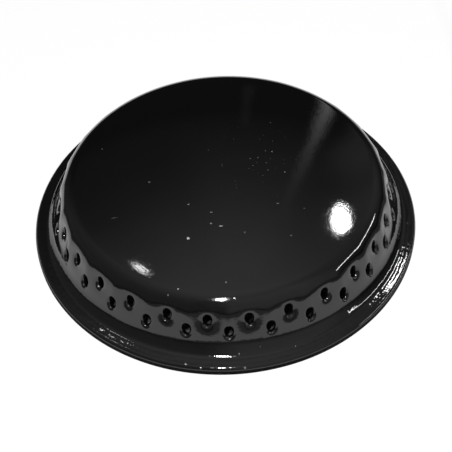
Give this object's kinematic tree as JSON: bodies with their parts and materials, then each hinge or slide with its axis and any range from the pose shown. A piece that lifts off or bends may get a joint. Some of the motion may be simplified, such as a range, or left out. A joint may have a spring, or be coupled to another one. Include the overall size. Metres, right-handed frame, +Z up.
{
  "type": "burner cap",
  "caption": "Round gas burner cap, pressed from sheet steel and enamelled gloss black, with a shallow dome, two staggered rings of flame ports and a rolled flange.",
  "frame": {"origin": "on the cap's axis, at the height of the lip's lower edge", "axes": "+Z up along the cap's axis, through the crown of the dome; one flame port of the lower ring faces +X"},
  "size_m": [0.1, 0.1, 0.0195],
  "materials": {
    "black_enamel": "gloss vitreous enamel on pressed steel"
  },
  "bodies": {
    "root": {"burner_cap": "black_enamel"}
  },
  "joints": []
}
